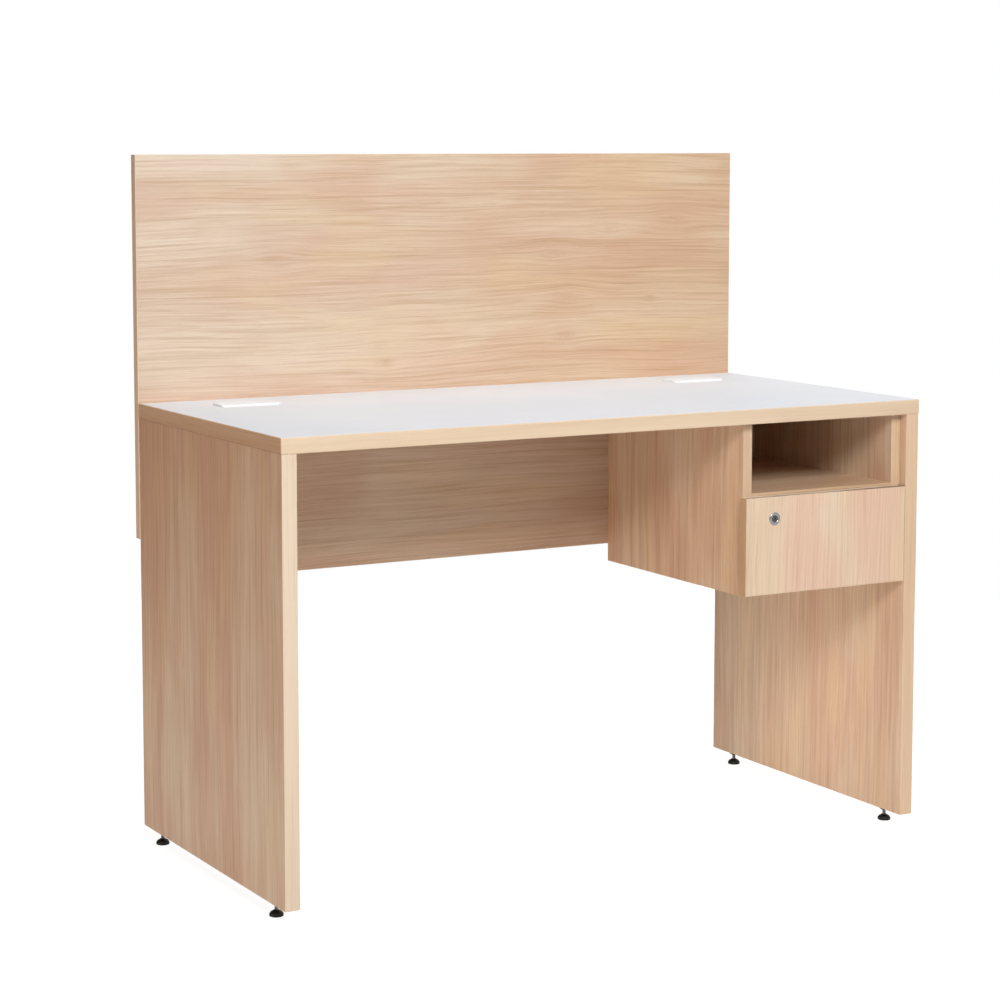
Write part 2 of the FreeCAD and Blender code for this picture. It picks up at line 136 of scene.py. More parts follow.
def lin(hex_colour, k=1.0):
    """sRGB hex to linear RGBA."""
    out = []
    for i in (0, 2, 4):
        c = int(hex_colour[i:i + 2], 16) / 255.0
        c = c / 12.92 if c <= 0.04045 else ((c + 0.055) / 1.055) ** 2.4
        out.append(c * k)
    return (*out, 1.0)


def set_in(bsdf, **values):
    names = {"rough": "Roughness", "metal": "Metallic", "spec": "Specular IOR Level", "ior": "IOR",
             "coat": "Coat Weight", "coat_rough": "Coat Roughness", "sheen": "Sheen Weight",
             "aniso": "Anisotropic"}
    for k, v in values.items():
        bsdf.inputs[names[k]].default_value = v


# =====================================================================
# materials
# =====================================================================
def laminate(name, grain, across, shift=(0.0, 0.0), figure=1.0, tone=1.0, knots=(), plank=0.23,
             light="EBD3B7", mid="E2C6A7", pink="DDB699", dark="C0946C", contrast=1.0,
             streak=1.0, pith=0.0, drift=None, patch=1.0, fine=1.0):
    """Wood-grain melamine. grain and across are the object axes (0, 1, 2)
    that the printed grain runs along and across."""
    m = bpy.data.materials.new(name)
    t = Tree(m)
    sep = t.node("ShaderNodeSeparateXYZ")
    t.link(t.coord.outputs["Object"], sep.inputs[0])
    depth = 3 - grain - across
    u = t.math("ADD", sep.outputs[grain], shift[0])
    v = t.math("ADD", sep.outputs[across], shift[1])
    w = sep.outputs[depth]
    # the printed face is flat: depth only nudges the edges, so they aren't smeared
    w = t.math("MULTIPLY", w, 0.6)

    # slow wander of the grain lines
    wander = t.noise(t.combine(t.math("MULTIPLY", u, 1.3), t.math("MULTIPLY", v, 3.4), w), 1.0, 2.0, 0.55)
    wander = t.math("MULTIPLY", t.math("SUBTRACT", wander, 0.5), 0.042)
    ripple = t.noise(t.combine(t.math("MULTIPLY", u, 6.0), t.math("MULTIPLY", v, 16.0), w), 1.0, 2.0, 0.5)
    ripple = t.math("MULTIPLY", t.math("SUBTRACT", ripple, 0.5), 0.0036)
    vw = t.math("ADD", t.math("ADD", v, wander), ripple)

    # knots: the grain swells round each one, and the eye is darker
    eye_total = None
    for ku, kv, kr, kd in knots:
        du = t.math("MULTIPLY", t.math("SUBTRACT", u, ku + shift[0]), 0.45 / kr)
        dv = t.math("DIVIDE", t.math("SUBTRACT", v, kv + shift[1]), kr)
        r2 = t.math("ADD", t.math("MULTIPLY", du, du), t.math("MULTIPLY", dv, dv))
        fall = t.math("POWER", 2.718, t.math("MULTIPLY", r2, -0.55))
        push = t.math("MULTIPLY", t.math("MULTIPLY", dv, fall), kr * -0.62)
        vw = t.math("ADD", vw, push)
        eye = t.math("MULTIPLY", t.math("POWER", 2.718, t.math("MULTIPLY", r2, -2.6)), kd)
        eye_total = eye if eye_total is None else t.math("MAXIMUM", eye_total, eye)

    # growth rings of plain-sawn boards: arches near the pith line of each
    # printed board, straight lines at its sides
    fold = t.math("PINGPONG", t.math("ADD", vw, 3.0 * plank + pith), plank)
    centre = t.math("SUBTRACT", fold, plank * 0.5)
    rad = t.math("SQRT", t.math("ADD", t.math("MULTIPLY", centre, centre), 0.00042))
    ring = t.math("ADD", rad, t.math("MULTIPLY", u, 0.040))
    slow = t.noise(t.combine(t.math("MULTIPLY", u, 3.2), t.math("MULTIPLY", vw, 9.0), w), 1.0, 3.0, 0.6)
    ring = t.math("ADD", ring, t.math("MULTIPLY", t.math("SUBTRACT", slow, 0.5), 0.011))
    phase = t.math("FRACT", t.math("MULTIPLY", ring, 150.0))
    late = t.math("POWER", phase, 2.6)              # soft rise, sharp drop
    fade = t.remap(t.noise(t.combine(t.math("MULTIPLY", u, 1.7), t.math("MULTIPLY", vw, 7.0), w),
                           1.0, 2.0, 0.5), 0.42, 0.68, 0.0, 1.0)
    late = t.math("MULTIPLY", late, fade)

    # broad streaks along the grain
    vf = t.math("MULTIPLY", vw, fine)
    s1 = t.noise(t.combine(t.math("MULTIPLY", u, 0.9), t.math("MULTIPLY", vw, 13.0), w), 1.0, 3.0, 0.6)
    s2 = t.noise(t.combine(t.math("MULTIPLY", u, 1.3), t.math("MULTIPLY", vf, 66.0), w), 1.0, 4.0, 0.7)
    s3 = t.noise(t.combine(t.math("ADD", t.math("MULTIPLY", u, 1.1), 7.3),
                           t.math("MULTIPLY", vw, 10.0), w), 1.0, 3.0, 0.55)
    s4 = t.noise(t.combine(t.math("MULTIPLY", u, 2.6), t.math("MULTIPLY", vf, 165.0),
                           t.math("MULTIPLY", w, 40.0)), 1.0, 3.0, 0.6)
    s5 = t.noise(t.combine(t.math("ADD", t.math("MULTIPLY", u, 4.4), 3.7), t.math("MULTIPLY", vf, 300.0),
                           t.math("MULTIPLY", w, 50.0)), 1.0, 2.0, 0.6)
    # printed patches where the sheet runs warmer or paler
    p1 = t.noise(t.combine(t.math("MULTIPLY", u, 4.2), t.math("ADD", t.math("MULTIPLY", vw, 8.5), 4.1), w), 1.0, 2.0, 0.5)
    p2 = t.noise(t.combine(t.math("ADD", t.math("MULTIPLY", u, 3.1), 9.2), t.math("MULTIPLY", vw, 12.0), w), 1.0, 2.0, 0.5)
    # fine fibres and pores
    f1 = t.noise(t.combine(t.math("MULTIPLY", u, 8.5), t.math("MULTIPLY", vf, 520.0),
                           t.math("MULTIPLY", w, 60.0)), 1.0, 3.0, 0.65)
    f2 = t.noise(t.combine(t.math("MULTIPLY", u, 38.0), t.math("MULTIPLY", vw, 1200.0),
                           t.math("MULTIPLY", w, 200.0)), 1.0, 2.0, 0.6)
    pores = t.remap(f2, 0.60, 0.72, 0.0, 1.0)

    col = t.mix(t.remap(s1, 0.34, 0.66, 0.0, 1.0), lin(mid), lin(light))
    col = t.mix(t.math("MULTIPLY", t.remap(s3, 0.44, 0.66, 0.0, 1.0), 0.85 * streak, clamp=True), col, lin(pink))
    col = t.mix(t.math("MULTIPLY", t.remap(s2, 0.50, 0.76, 0.0, 1.0), 0.42 * streak * contrast), col, lin(dark))
    col = t.mix(t.math("MULTIPLY", t.remap(s2, 0.22, 0.42, 1.0, 0.0), 0.45), col, lin(light))
    col = t.mix(t.math("MULTIPLY", t.remap(p1, 0.48, 0.66, 0.0, 1.0, smooth=True), 0.58 * patch, clamp=True), col, lin(pink))
    col = t.mix(t.math("MULTIPLY", t.remap(p2, 0.52, 0.70, 0.0, 1.0, smooth=True), 0.46 * patch, clamp=True), col, lin("E9CBA0"))
    col = t.mix(t.math("MULTIPLY", late, 0.19 * figure * contrast), col, lin(dark))
    col = t.mix(t.math("MULTIPLY", t.remap(s4, 0.52, 0.76, 0.0, 1.0), 0.40 * contrast), col, lin(dark))
    col = t.mix(t.math("MULTIPLY", t.remap(s5, 0.50, 0.74, 0.0, 1.0), 0.46 * contrast), col, lin(dark))
    col = t.mix(t.math("MULTIPLY", t.remap(f1, 0.50, 0.76, 0.0, 1.0), 0.42 * contrast), col, lin(dark))
    col = t.mix(t.math("MULTIPLY", t.remap(s5, 0.24, 0.46, 1.0, 0.0), 0.40), col, lin(light))
    col = t.mix(t.math("MULTIPLY", t.remap(f1, 0.24, 0.46, 1.0, 0.0), 0.36), col, lin(light))
    col = t.mix(t.math("MULTIPLY", pores, 0.20 * contrast), col, lin("8F6C4D"))
    if eye_total is not None:
        whorl = t.noise(t.combine(t.math("MULTIPLY", u, 60.0), t.math("MULTIPLY", vw, 160.0), w), 1.0, 3.0, 0.7, 1.5)
        eye_total = t.math("MULTIPLY", eye_total, t.remap(whorl, 0.35, 0.65, 0.35, 1.0))
        col = t.mix(t.math("MULTIPLY", eye_total, 0.8), col, lin("B5835E"))
    if tone != 1.0:
        col = t.mix(1.0, col, (tone, tone, tone, 1.0), "MULTIPLY")
    if drift is not None:
        # the colour changes slowly from one end of the board to the other: partly a change in the print, partly
        # painted shade and painted light, set per board below
        a, b, tint_a, tint_b = drift
        along = t.remap(t.math("ADD", sep.outputs[grain], t.math("MULTIPLY", t.math("SUBTRACT", p1, 0.5), 0.5 * abs(b - a))),
                        a, b, 0.0, 1.0)
        col = t.mix(1.0, col, t.mix(along, (*tint_a, 1.0), (*tint_b, 1.0)), "MULTIPLY")
    t.link(col, t.bsdf.inputs["Base Color"])
    # satin print with an embossed pore texture and faint handling marks
    cloud = t.noise(t.coord.outputs["Object"], 7.0, 3.0, 0.6)
    ro = t.math("ADD", t.remap(cloud, 0.3, 0.7, 0.40, 0.50), t.math("MULTIPLY", pores, 0.10))
    t.link(ro, t.bsdf.inputs["Roughness"])
    h = t.math("SUBTRACT", t.math("MULTIPLY", f1, 0.5), t.math("MULTIPLY", pores, 0.8))
    t.link(t.bump(h, 0.22, 0.00012), t.bsdf.inputs["Normal"])
    set_in(t.bsdf, spec=0.42)
    return m


def edge_tape(name, grain, tone=1.0, light="EDD6BA", mid="E4CAAD", dark="C7A585"):
    """Wood-tone ABS edge band: fine straight grain along the strip."""
    m = bpy.data.materials.new(name)
    t = Tree(m)
    sep = t.node("ShaderNodeSeparateXYZ")
    t.link(t.coord.outputs["Object"], sep.inputs[0])
    axes = [sep.outputs[i] for i in range(3)]
    sc = [34.0, 34.0, 34.0]
    sc[grain] = 0.9
    v = t.combine(*[t.math("MULTIPLY", axes[i], sc[i]) for i in range(3)])
    s = t.noise(v, 1.0, 3.0, 0.6)
    sc = [330.0, 330.0, 330.0]
    sc[grain] = 5.0
    v2 = t.combine(*[t.math("MULTIPLY", axes[i], sc[i]) for i in range(3)])
    f = t.noise(v2, 1.0, 3.0, 0.65)
    col = t.mix(t.remap(s, 0.35, 0.65, 0.0, 1.0), lin(mid, tone), lin(light, tone))
    col = t.mix(t.math("MULTIPLY", t.remap(f, 0.52, 0.78, 0.0, 1.0), 0.42), col, lin(dark, tone))
    t.link(col, t.bsdf.inputs["Base Color"])
    t.link(t.remap(f, 0.2, 0.8, 0.38, 0.50), t.bsdf.inputs["Roughness"])
    t.link(t.bump(f, 0.18, 0.0001), t.bsdf.inputs["Normal"])
    set_in(t.bsdf, spec=0.42)
    return m


def melamine(name, colour="E9E9E8", rough=(0.30, 0.40)):
    """White melamine with its pearl texture, faint mottle and wiped marks."""
    m = bpy.data.materials.new(name)
    t = Tree(m)
    o = t.coord.outputs["Object"]
    cloud = t.noise(o, 3.0, 4.0, 0.6)
    speck = t.noise(o, 900.0, 2.0, 0.5)
    col = t.mix(t.math("MULTIPLY", t.remap(cloud, 0.35, 0.7, 0.0, 1.0), 0.5), lin(colour), lin("DFE3E7"))
    col = t.mix(t.math("MULTIPLY", t.remap(speck, 0.60, 0.74, 0.0, 1.0), 0.12), col, lin("D2D2D0"))
    t.link(col, t.bsdf.inputs["Base Color"])
    swipe = t.noise(t.combine(t.math("MULTIPLY", split(t, o, 0), 2.5), t.math("MULTIPLY", split(t, o, 1), 14.0), 0.0),
                    1.0, 4.0, 0.65)
    t.link(t.remap(swipe, 0.3, 0.75, rough[0], rough[1]), t.bsdf.inputs["Roughness"])
    pearl = t.noise(o, 620.0, 2.0, 0.55)
    t.link(t.bump(pearl, 0.12, 0.00008), t.bsdf.inputs["Normal"])
    set_in(t.bsdf, spec=0.30)
    return m


def split(t, vec, i):
    s = t.node("ShaderNodeSeparateXYZ")
    t.link(vec, s.inputs[0])
    return s.outputs[i]


def particle_board(name):
    """Raw chipboard edge, where a board has no band."""
    m = bpy.data.materials.new(name)
    t = Tree(m)
    o = t.coord.outputs["Object"]
    vor = t.node("ShaderNodeTexVoronoi")
    vor.inputs["Scale"].default_value = 420.0
    t.link(t.combine(t.math("MULTIPLY", split(t, o, 0), 0.5), t.math("MULTIPLY", split(t, o, 1), 0.5), split(t, o, 2)),
           vor.inputs["Vector"])
    sepc = t.node("ShaderNodeSeparateColor")
    t.link(vor.outputs["Color"], sepc.inputs[0])
    chips = sepc.outputs[0]
    big = t.noise(o, 60.0, 3.0, 0.6)
    col = t.mix(chips, lin("B28C62"), lin("D8B88E"))
    col = t.mix(t.math("MULTIPLY", t.remap(big, 0.4, 0.7, 0.0, 1.0), 0.5), col, lin("9C7850"))
    t.link(col, t.bsdf.inputs["Base Color"])
    t.link(t.remap(chips, 0.0, 1.0, 0.75, 0.95), t.bsdf.inputs["Roughness"])
    t.link(t.bump(t.math("ADD", chips, vor.outputs["Distance"]), 0.6, 0.0003), t.bsdf.inputs["Normal"])
    set_in(t.bsdf, spec=0.2)
    return m


def plastic(name, colour, colour2, rough=(0.30, 0.42), grain_scale=1400.0, grain=0.14, spec=0.5):
    """Moulded plastic: slight tone drift, spark-eroded grain, handling gloss."""
    m = bpy.data.materials.new(name)
    t = Tree(m)
    o = t.coord.outputs["Object"]
    drift = t.noise(o, 26.0, 3.0, 0.6)
    t.link(t.mix(t.remap(drift, 0.3, 0.7, 0.0, 1.0), lin(colour), lin(colour2)), t.bsdf.inputs["Base Color"])
    t.link(t.remap(t.noise(o, 90.0, 3.0, 0.6), 0.3, 0.7, rough[0], rough[1]), t.bsdf.inputs["Roughness"])
    t.link(t.bump(t.noise(o, grain_scale, 2.0, 0.6), grain, 0.00008), t.bsdf.inputs["Normal"])
    set_in(t.bsdf, spec=spec)
    return m


def metal(name, colour, colour2, rough=(0.22, 0.38), brush=None, brush_scale=900.0, bump=0.08, aniso=0.0):
    """Plated or brushed metal with drawn lines, spangle and fingerprints."""
    m = bpy.data.materials.new(name)
    t = Tree(m)
    o = t.coord.outputs["Object"]
    sc = [brush_scale] * 3
    if brush is not None:
        sc[brush] = 14.0
    v = t.combine(*[t.math("MULTIPLY", split(t, o, i), sc[i]) for i in range(3)])
    lines = t.noise(v, 1.0, 3.0, 0.6)
    blotch = t.noise(o, 70.0, 3.0, 0.6)
    t.link(t.mix(t.remap(blotch, 0.3, 0.7, 0.0, 1.0), lin(colour), lin(colour2)), t.bsdf.inputs["Base Color"])
    r = t.math("ADD", t.remap(lines, 0.3, 0.7, rough[0], rough[1]), t.math("MULTIPLY", t.math("SUBTRACT", blotch, 0.5), 0.12))
    t.link(r, t.bsdf.inputs["Roughness"])
    t.link(t.bump(lines, bump, 0.00005), t.bsdf.inputs["Normal"])
    set_in(t.bsdf, metal=1.0, aniso=aniso)
    return m


def hardboard(name):
    m = bpy.data.materials.new(name)
    t = Tree(m)
    o = t.coord.outputs["Object"]
    fib = t.noise(o, 300.0, 4.0, 0.7, 1.2)
    cl = t.noise(o, 14.0, 3.0, 0.6)
    col = t.mix(t.remap(fib, 0.3, 0.7, 0.0, 1.0), lin("D9C9B0"), lin("EBDFCB"))
    col = t.mix(t.math("MULTIPLY", t.remap(cl, 0.4, 0.7, 0.0, 1.0), 0.3), col, lin("CDB998"))
    t.link(col, t.bsdf.inputs["Base Color"])
    t.link(t.remap(fib, 0.3, 0.7, 0.45, 0.6), t.bsdf.inputs["Roughness"])
    t.link(t.bump(fib, 0.25, 0.0001), t.bsdf.inputs["Normal"])
    return m


# knots of the screen: along X, along Z, radius, darkness
SCREEN_KNOTS = [
    (-0.345, 0.985, 0.018, 0.20), (-0.135, 0.800, 0.013, 0.55), (-0.145, 0.830, 0.012, 0.30),
    (0.245, 0.905, 0.020, 0.32), (0.240, 0.835, 0.014, 0.55), (0.210, 0.985, 0.016, 0.22),
    (0.420, 0.900, 0.008, 0.45), (0.330, 1.030, 0.010, 0.25), (0.475, 1.045, 0.018, 0.20),
]

M = {}
# screen drift: paler and bluer at the left end, darker and yellower at the right: partly print, partly a painted
# highlight haze on the left and painted shade on the right
M["screen"] = laminate("laminate_screen", 0, 2, (0.35, 0.02), 1.0, knots=SCREEN_KNOTS, plank=0.21, pith=0.05,
                       drift=(-0.45, 0.45, (0.985, 1.045, 1.13), (0.955, 0.915, 0.865)))
# left leg drift: darker and redder towards the top, paler and cooler near the floor: partly print, partly painted
# shade under the desktop and painted floor bounce at the foot
M["legL"] = laminate("laminate_leg_left", 2, 1, (3.1, 0.41), 0.55, knots=[(0.16, -0.13, 0.012, 0.3), (0.34, 0.10, 0.010, 0.25)],
                     streak=1.5, plank=0.17, fine=0.58, drift=(0.12, 0.70, (1.02, 1.06, 1.09), (0.92, 0.86, 0.84)))
M["legR"] = laminate("laminate_leg_right", 2, 1, (8.4, 0.13), 0.5, knots=[(0.13, -0.11, 0.012, 0.3)], streak=1.35, plank=0.19, fine=0.6,
                     tone=1.04)
# modesty drift: darker and redder towards the right end: painted shade by the pedestal
M["modesty"] = laminate("laminate_modesty", 0, 2, (5.2, 0.61), 0.6, plank=0.16, streak=1.2,
                        drift=(-0.52, 0.22, (1.06, 1.02, 0.99), (0.79, 0.72, 0.70)))
# pedestal side drift: warmer and redder all over, a little darker towards the top: partly print, partly painted warm
# shade on a face turned from the light
M["sideL"] = laminate("laminate_pedestal_left", 2, 1, (6.7, 0.83), 0.5, streak=1.6, plank=0.2, fine=0.5, patch=1.3,
                      drift=(0.43, 0.73, (1.15, 1.03, 0.95), (1.11, 1.0, 0.92)))
M["sideR"] = laminate("laminate_pedestal_right", 2, 1, (9.9, 0.27), 0.5, streak=1.3, plank=0.2, fine=0.6, tone=1.06)
# shelf drift: darker all over, most at the left end: painted shade inside the open compartment
M["shelf"] = laminate("laminate_shelf", 0, 1, (2.3, 0.55), 0.5, plank=0.15, drift=(0.26, 0.56, (0.80, 0.73, 0.66), (0.88, 0.82, 0.76)))
M["back"] = laminate("laminate_pedestal_back", 2, 0, (1.7, 0.93), 0.5, plank=0.15, fine=0.7, tone=1.14)
M["bottom"] = laminate("laminate_pedestal_bottom", 1, 0, (4.9, 0.35), 0.6, plank=0.15)
M["front"] = laminate("laminate_drawer_front", 2, 0, (7.7, 0.12), 0.25, streak=0.9, plank=0.14,
                      tone=1.07, pink="E6BFA6", contrast=0.72, patch=1.6)
M["tapeX"] = edge_tape("edge_tape_along_x", 0, light="EDD3B4", mid="E5C7A6")
# darker, redder copy of the band tape for the desktop's side bands: painted shade on faces turned from the key light
M["tapeY"] = edge_tape("edge_tape_along_y", 1, light="DDBA98", mid="D0A986", dark="B08963")
M["tapeZ"] = edge_tape("edge_tape_along_z", 2)
# darker, yellower copy of the leg band tape for the right leg: painted shade where the light falls off to the right
M["tapeZ_right"] = edge_tape("edge_tape_right_leg", 2, light="E9C8A5", mid="DFBA95", dark="C0946E")
# darker, warmer tape copy for the drawer front edging's side faces: painted shade on faces turned from the light
M["tapeZ_front"] = edge_tape("edge_tape_drawer_sides", 2, light="DDB48A", mid="D2A67B", dark="B38557")
# darker, warmer tape copy for the pedestal's upright bands, set back under the desktop's edge: painted shade
M["tapeZ_deep"] = edge_tape("edge_tape_pedestal", 2, light="DFBF9C", mid="D2AF8A", dark="B08963")
# the same darker tape copy running along X, for the pedestal's shelf and bottom bands: painted shade
M["tapeX_deep"] = edge_tape("edge_tape_shelf", 0, light="DFBF9C", mid="D2AF8A", dark="B08963")
M["white"] = melamine("white_melamine", "EDEDED", (0.50, 0.60))
M["drawer_board"] = melamine("pale_drawer_board", "E6E3DC", (0.38, 0.5))
M["chip"] = particle_board("particle_board")
M["fibre"] = hardboard("fibreboard")
M["white_plastic"] = plastic("white_moulded_plastic", "F9F9F8", "F3F3F2", (0.50, 0.60), 1500.0, 0.06, spec=0.25)
M["black_plastic"] = plastic("black_moulded_plastic", "121212", "1C1B1A", (0.38, 0.55), 1300.0, 0.22)
M["cap_plastic"] = plastic("wood_tone_plastic", "D9BE9E", "CFB08D", (0.42, 0.55), 1200.0, 0.2)
M["steelY"] = metal("zinc_steel_drawn", "B9BCC0", "A9ACB0", (0.26, 0.42), 1)
M["steel"] = metal("zinc_steel", "BEC0C4", "A6A9AE", (0.28, 0.46), None, 700.0, 0.12)
M["chrome"] = metal("polished_chrome", "BFC1C4", "AFB2B6", (0.08, 0.16), None, 1200.0, 0.02)
M["nickel"] = metal("satin_nickel", "7F7C78", "686561", (0.20, 0.34), None, 1500.0, 0.10)
M["beech"] = laminate("beech_dowel", 2, 1, (0.2, 0.4), 0.2, mid="D8B58A", light="E4C7A0", pink="D6AE86", dark="B08455")


# =====================================================================
# geometry helpers
# =====================================================================
def new_object(name, mesh, body, materials):
    o = bpy.data.objects.new(name, mesh)
    scene.collection.objects.link(o)
    for m in materials:
        o.data.materials.append(m)
    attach(o, body)
    return o


FACES = {"-x": (0, -1), "+x": (0, 1), "-y": (1, -1), "+y": (1, 1), "-z": (2, -1), "+z": (2, 1)}


def side_of(normal):
    i = max(range(3), key=lambda k: abs(normal[k]))
    return ("+" if normal[i] > 0 else "-") + "xyz"[i] if abs(normal[i]) > 0.999 else None


def flat_normals(o):
    """Flat faces shade flat, and the narrow rounded arrises carry the turn."""
    wn = o.modifiers.new("flat_faces", "WEIGHTED_NORMAL")
    wn.mode = "FACE_AREA"
    wn.weight = 100
    wn.keep_sharp = True


def sharpen(bm, layer=None):
    """Marks the corners that stay square, so the flat faces shade flat."""
    for e in bm.edges:
        if layer is not None and e[layer] > 0:
            continue
        if len(e.link_faces) != 2 or e.calc_face_angle(0.0) > math.radians(28):
            e.smooth = False


def board(node, material, name=None, r=0.00025, soft=None, raw=(), raw_material=None, segments=3, face_mats=None, extra=()):
    """Stands for a board's CAD node: the same outline, drillings and size, with
    its arrises eased. soft gives the radius of the arrises round a face;
    raw names the faces that show bare particle board."""
    soft = soft or {}
    src = NODES[node]
    mesh = src.data.copy()
    mesh.materials.clear()
    bm = bmesh.new()
    bm.from_mesh(mesh)
    bmesh.ops.remove_doubles(bm, verts=bm.verts, dist=1e-6)
    bmesh.ops.dissolve_limit(bm, angle_limit=math.radians(0.5), use_dissolve_boundaries=False,
                             verts=bm.verts, edges=bm.edges, delimit=set())
    lo = Vector([min(v.co[i] for v in bm.verts) for i in range(3)])
    hi = Vector([max(v.co[i] for v in bm.verts) for i in range(3)])
    layer = bm.edges.layers.float.get("bevel_weight_edge") or bm.edges.layers.float.new("bevel_weight_edge")
    biggest = max([r] + list(soft.values()))
    for e in bm.edges:
        if len(e.link_faces) != 2:
            continue
        a, b = (side_of(f.normal) for f in e.link_faces)
        if a is None or b is None or a == b:
            continue
        mid = (e.verts[0].co + e.verts[1].co) / 2
        on = 0
        for s in (a, b):
            i, sign = FACES[s]
            if abs(mid[i] - (hi[i] if sign > 0 else lo[i])) < 2e-6:
                on += 1
        if on == 2:
            rad = max([soft[s] for s in (a, b) if s in soft] or [r])
            e[layer] = rad / biggest
    sharpen(bm, layer)
    for f in bm.faces:
        f.smooth = True
        s = side_of(f.normal)
        if raw_material is not None and s in raw:
            f.material_index = 1
        if face_mats and s in face_mats:
            f.material_index = face_mats[s]
    bm.to_mesh(mesh)
    bm.free()
    mats = material if isinstance(material, (list, tuple)) else [material]
    mats = list(mats) + ([raw_material] if raw_material is not None else []) + list(extra)
    o = new_object(name or node + "_made", mesh, BODY_OF[node], mats)
    bev = o.modifiers.new("eased_edges", "BEVEL")
    bev.limit_method = "WEIGHT"
    bev.width = biggest
    bev.segments = segments
    bev.profile = 0.5
    bev.use_clamp_overlap = True
    flat_normals(o)
    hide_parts(node)
    return o


def lathe(name, profile, centre, axis, body, material, steps=64, closed=False):
    """Turned solid: profile is (radius, along) from one end to the other."""
    bm = bmesh.new()
    z = Vector(axis).normalized()
    x = z.orthogonal().normalized()
    y = z.cross(x)
    c = Vector(centre)
    rings = []
    for rad, along in profile:
        if rad < 1e-9:
            rings.append([bm.verts.new(c + z * along)])
        else:
            rings.append([bm.verts.new(c + z * along + (x * math.cos(2 * math.pi * k / steps)
                                                        + y * math.sin(2 * math.pi * k / steps)) * rad)
                          for k in range(steps)])
    pairs = list(zip(rings, rings[1:]))
    if closed:
        pairs.append((rings[-1], rings[0]))
    for a, b in pairs:
        for k in range(steps):
            n = (k + 1) % steps
            if len(a) == 1 and len(b) == 1:
                continue
            if len(a) == 1:
                bm.faces.new((a[0], b[n], b[k]))
            elif len(b) == 1:
                bm.faces.new((a[k], a[n], b[0]))
            else:
                bm.faces.new((a[k], a[n], b[n], b[k]))
    bmesh.ops.recalc_face_normals(bm, faces=bm.faces)
    for f in bm.faces:
        f.smooth = True
    mesh = bpy.data.meshes.new(name)
    bm.to_mesh(mesh)
    bm.free()
    mesh.set_sharp_from_angle(angle=math.radians(32))
    return new_object(name, mesh, body, [material])


def dress(node, material, bevel=None, angle=30):
    """Keeps a CAD node and gives it its finish; bevel and angle are not used."""
    o = NODES[node]
    o.data.materials.clear()
    o.data.materials.append(material)
    return o


# =====================================================================
# boards and their edge bands
# =====================================================================
board("desktop", M["white"], r=0.00012)
for n, s in (("desktop_band_front", {"-y": 0.0017}), ("desktop_band_rear", {})):
    board(n, M["tapeX"], r=0.00012, soft=s, segments=4)


def strips(node, material, softs, r=0.00012, segments=3, face_mats=None, extra=()):
    """A node of several strips: each strip gets its own arrises."""
    src = NODES[node]
    mesh = src.data.copy()
    mesh.materials.clear()
    bm = bmesh.new()
    bm.from_mesh(mesh)
    bmesh.ops.remove_doubles(bm, verts=bm.verts, dist=1e-7)
    bmesh.ops.dissolve_limit(bm, angle_limit=math.radians(0.5), use_dissolve_boundaries=False,
                             verts=bm.verts, edges=bm.edges, delimit=set())
    layer = bm.edges.layers.float.new("bevel_weight_edge")
    seen, groups = set(), []
    for f in bm.faces:
        if f in seen:
            continue
        stack, group = [f], []
        seen.add(f)
        while stack:
            g = stack.pop()
            group.append(g)
            for e in g.edges:
                for k in e.link_faces:
                    if k not in seen:
                        seen.add(k)
                        stack.append(k)
        groups.append(group)
    biggest = max([r] + [x for s in softs.values() for x in s.values()])
    for group in groups:
        vs = {v for f in group for v in f.verts}
        c = sum((v.co for v in vs), Vector()) / len(vs)
        key = min(softs, key=lambda k: (Vector(k) - c).length)
        soft = softs[key]
        for f in group:
            f.smooth = True
            f.material_index = (face_mats or {}).get(side_of(f.normal), 0)
            for e in f.edges:
                if len(e.link_faces) != 2:
                    continue
                a, b = (side_of(g.normal) for g in e.link_faces)
                if a and b and a != b:
                    e[layer] = max([soft[s] for s in (a, b) if s in soft] or [r]) / biggest
    sharpen(bm, layer)
    bm.to_mesh(mesh)
    bm.free()
    o = new_object(node + "_made", mesh, BODY_OF[node], [material, *extra])
    bev = o.modifiers.new("eased_edges", "BEVEL")
    bev.limit_method = "WEIGHT"
    bev.width = biggest
    bev.segments = segments
    flat_normals(o)
    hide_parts(node)
    return o


strips("desktop_side_bands", M["tapeY"], {(-0.6, 0, 0.74): {"-x": 0.0017}, (0.6, 0, 0.74): {"+x": 0.0017}})

# the legs' rear (+y) edges take the darker pedestal tape copy, which carries painted shade
for side, mat in (("left", M["legL"]), ("right", M["legR"])):
    board("leg_panel_" + side, mat, r=0.00025, raw=("-z", "+z"), raw_material=M["chip"],
          face_mats={"+y": 2}, extra=[M["tapeZ_deep"]])
    board("leg_band_" + side, M["tapeZ" if side == "left" else "tapeZ_right"], r=0.00010, soft={"-y": 0.0009})

board("screen_panel", M["screen"], r=0.00012)
board("screen_band_top", M["tapeX"], r=0.00010, soft={"+z": 0.0009})
board("screen_band_bottom", M["tapeX"], r=0.00010, soft={"-z": 0.0009})
strips("screen_side_bands", M["tapeZ"], {(-0.6, 0.29, 0.84): {"-x": 0.0009}, (0.6, 0.29, 0.84): {"+x": 0.0009}}, r=0.0001)
board("modesty_panel", M["modesty"], r=0.0002, raw=("-x", "+x", "+z"), raw_material=M["chip"])
board("modesty_band", M["tapeX"], r=0.0001, soft={"-z": 0.0009})

board("pedestal_side_left", M["sideL"], r=0.0002, raw=("+z",), raw_material=M["chip"])
board("pedestal_side_right", M["sideR"], r=0.0002, raw=("+z",), raw_material=M["chip"])
# the pedestal's upright bands take the darker tape copy: painted shade under the desktop's front edge
for n in ("pedestal_band_left", "pedestal_band_right"):
    board(n, M["tapeZ_deep"], r=0.0001, soft={"-y": 0.0009})
board("pedestal_shelf", M["shelf"], r=0.00015)
